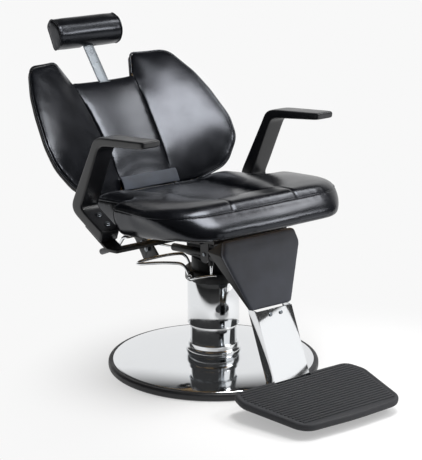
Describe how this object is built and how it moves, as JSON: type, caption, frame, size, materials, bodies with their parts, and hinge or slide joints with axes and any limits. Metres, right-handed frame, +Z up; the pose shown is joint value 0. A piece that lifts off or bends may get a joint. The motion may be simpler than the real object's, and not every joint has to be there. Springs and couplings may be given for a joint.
{
  "type": "hydraulic barber chair",
  "caption": "Hydraulic barber chair with a round pedestal base, foot pump column, padded reclining backrest with headrest, armrests and a swinging legrest with a ribbed footplate.",
  "frame": {"origin": "on the floor, on the axis of the column", "axes": "+Z up, the chair faces -Y, the sitter's left is +X"},
  "size_m": [0.658, 1.2844, 0.9223],
  "materials": {
    "chrome": "polished",
    "zinc_steel": "zinc plated",
    "black_steel": "semi-gloss black",
    "pump_black": "black paint on a casting",
    "rim_rubber": "smooth satin",
    "nylon": "plain",
    "black_vinyl": "glossy black vinyl over foam",
    "calf_vinyl": "black vinyl with a soft sheen",
    "flap_vinyl": "matte back side of vinyl",
    "arm_foam": "satin skinned polyurethane",
    "shell_plastic": "fine grain",
    "grip_plastic": "gloss",
    "plywood": "raw",
    "brass_nut": "yellow zinc or brass",
    "foot_rubber": "matte ribbed"
  },
  "bodies": {
    "base": {"base_plate": "black_steel", "rim_ring": "rim_rubber", "base_cover": "chrome", "collar": "chrome", "guide_tube": "chrome", "guide_bush": "nylon", "base_screws": "zinc_steel", "bearing_race": "zinc_steel", "bearing_balls": "zinc_steel"},
    "ram": {"ram": "chrome", "ram_piston": "zinc_steel"},
    "seat": {"pump_barrel": "zinc_steel", "column_sleeve": "chrome", "pump_head": "pump_black", "plunger_guide": "pump_black", "pedal_pins": "chrome", "seat_frame": "black_steel", "deck_bolts": "zinc_steel", "arm_carrier": "black_steel", "seat_board": "plywood", "seat_cushion": "black_vinyl", "armrest_left": "arm_foam", "armrest_right": "arm_foam", "arm_bolts": "zinc_steel", "hinge_shaft": "zinc_steel", "shaft_nuts": "brass_nut", "legrest_pins": "zinc_steel", "gas_pin": "zinc_steel"},
    "plunger": {"plunger": "chrome"},
    "pedal": {"pedal": "chrome"},
    "backrest": {"back_frame": "black_steel", "back_screws": "zinc_steel", "back_shell": "shell_plastic", "back_board": "plywood", "back_cushion": "black_vinyl", "headrest_guide": "zinc_steel", "flap": "flap_vinyl"},
    "headrest_bar": {"headrest_bar": "chrome", "headrest_pin": "zinc_steel"},
    "headrest": {"pillow_bracket": "zinc_steel", "pillow": "black_vinyl"},
    "legrest": {"legrest_hanger": "chrome", "calf_box": "shell_plastic", "calf_pad": "calf_vinyl", "hanger_screws": "zinc_steel", "foot_carrier": "black_steel", "footplate": "foot_rubber"},
    "gas_cylinder": {"gas_cylinder": "black_steel"},
    "gas_rod": {"gas_rod": "chrome"},
    "recline_lever": {"recline_lever": "chrome", "lever_grip": "grip_plastic"},
    "release_rod": {"release_rod": "zinc_steel"}
  },
  "joints": [
    {"name": "swivel", "type": "hinge", "parent": "base", "child": "ram", "pos_m": [0, 0, 0], "axis": [0, 0, 1], "continuous": true},
    {"name": "lift", "type": "slide", "parent": "ram", "child": "seat", "axis": [0, 0, 1], "range_m": [0, 0.13]},
    {"name": "pedal_pivot", "type": "hinge", "parent": "seat", "child": "pedal", "pos_m": [-0.05194, 0.04072, 0.278], "axis": [-0.617, -0.7869, 0], "range_deg": [0, 19], "stiffness_Nm_per_rad": 6, "springref_deg": -14.32},
    {"name": "plunger_slide", "type": "slide", "parent": "seat", "child": "plunger", "axis": [0, 0, 1], "range_m": [0, 0.025]},
    {"name": "recline", "type": "hinge", "parent": "seat", "child": "backrest", "pos_m": [0, 0.326, 0.43], "axis": [-1, 0, 0], "range_deg": [-10, 15], "deforming": ["flap"]},
    {"name": "gas_pivot", "type": "hinge", "parent": "seat", "child": "gas_cylinder", "pos_m": [-0.078, -0.08, 0.362], "axis": [1, 0, 0], "range_deg": [-4.4, 6.4]},
    {"name": "gas_stroke", "type": "slide", "parent": "gas_cylinder", "child": "gas_rod", "axis": [0, 0.9938, -0.1116], "range_m": [-0.028, 0.019]},
    {"name": "headrest_height", "type": "slide", "parent": "backrest", "child": "headrest_bar", "axis": [0, 0.6428, 0.766], "range_m": [-0.09, 0.05]},
    {"name": "headrest_tilt", "type": "hinge", "parent": "headrest_bar", "child": "headrest", "pos_m": [0, 0.624, 0.843], "axis": [-1, 0, 0], "range_deg": [-12, 12]},
    {"name": "legrest_swing", "type": "hinge", "parent": "seat", "child": "legrest", "pos_m": [0, -0.183, 0.407], "axis": [-1, 0, 0], "range_deg": [0, 50]},
    {"name": "lever_turn", "type": "hinge", "parent": "seat", "child": "recline_lever", "pos_m": [-0.15, 0.072, 0.404], "axis": [1, 0, 0], "range_deg": [0, 18], "stiffness_Nm_per_rad": 1.5, "springref_deg": -8.59},
    {"name": "release_pull", "type": "slide", "parent": "seat", "child": "release_rod", "axis": [0, 1, 0], "range_m": [0, 0.008]}
  ],
  "couplings": [
    {"joint": "plunger_slide", "follows": "pedal_pivot", "m_per_rad": 0.072},
    {"joint": "gas_pivot", "follows": "recline", "ratio": 0.408},
    {"joint": "gas_stroke", "follows": "recline", "m_per_rad": -0.1038},
    {"joint": "release_pull", "follows": "lever_turn", "m_per_rad": 0.0236}
  ]
}
